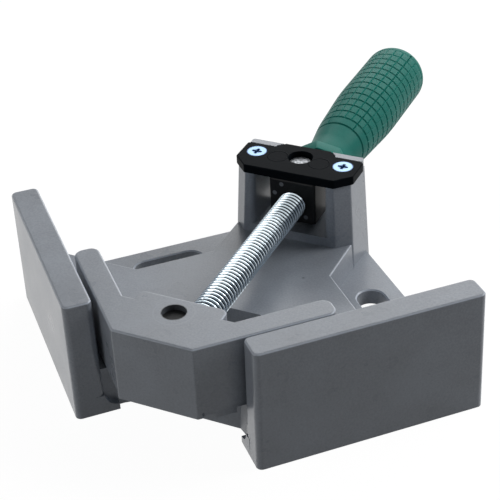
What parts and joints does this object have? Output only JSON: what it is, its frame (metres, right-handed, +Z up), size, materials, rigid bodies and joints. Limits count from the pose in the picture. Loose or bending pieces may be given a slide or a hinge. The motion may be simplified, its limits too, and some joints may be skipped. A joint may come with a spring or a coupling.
{
  "type": "corner clamp",
  "caption": "Bench corner clamp: cast base with two fixed jaws at 90 degrees, a V-shaped moving jaw on a screw with a swivelling nut, and a moulded handle.",
  "frame": {"origin": "on the bench, under the middle of the whole clamp's box at rest", "axes": "+X right, +Y along the spindle from the moving jaw's nose towards the handle, +Z up from the bench"},
  "size_m": [0.2146, 0.2802, 0.0547],
  "materials": {
    "cast_alloy": "as-cast die casting, lightly blasted",
    "black_coating": "satin black coating",
    "zinc_screws": "blue zinc plate",
    "zinc_steel": "bright zinc plate",
    "green_plastic": "moulded, finely ribbed",
    "black_oxide": "black oxide"
  },
  "bodies": {
    "base": {"base_casting": "cast_alloy", "cap_plate": "black_coating", "cap_screws": "zinc_screws"},
    "nut": {"swivel_nut": "black_coating"},
    "carriage": {"swivel_barrel": "black_oxide"},
    "spindle_and_handle": {"spindle": "zinc_steel", "handle_grip": "green_plastic", "thrust_washer": "zinc_steel", "retaining_ring": "black_oxide"},
    "moving_jaw": {"moving_jaw": "cast_alloy"}
  },
  "joints": [
    {"name": "nut_swivel", "type": "hinge", "parent": "base", "child": "nut", "pos_m": [0, 0.00364, 0.0356], "axis": [0, 0, 1], "range_deg": [-1, 1]},
    {"name": "jaw_travel", "type": "slide", "parent": "nut", "child": "carriage", "axis": [0, 1, 0], "range_m": [0, 0.0934]},
    {"name": "spindle_turn", "type": "hinge", "parent": "carriage", "child": "spindle_and_handle", "pos_m": [0, 0.00364, 0.0356], "axis": [0, 1, 0], "range_deg": [0, 15890]},
    {"name": "jaw_swing", "type": "hinge", "parent": "carriage", "child": "moving_jaw", "pos_m": [0, -0.12144, 0.0356], "axis": [0, 0, 1], "range_deg": [-1, 1]}
  ],
  "couplings": [
    {"joint": "spindle_turn", "follows": "jaw_travel", "rad_per_m": 2968.4},
    {"joint": "jaw_swing", "follows": "nut_swivel", "ratio": -1}
  ]
}
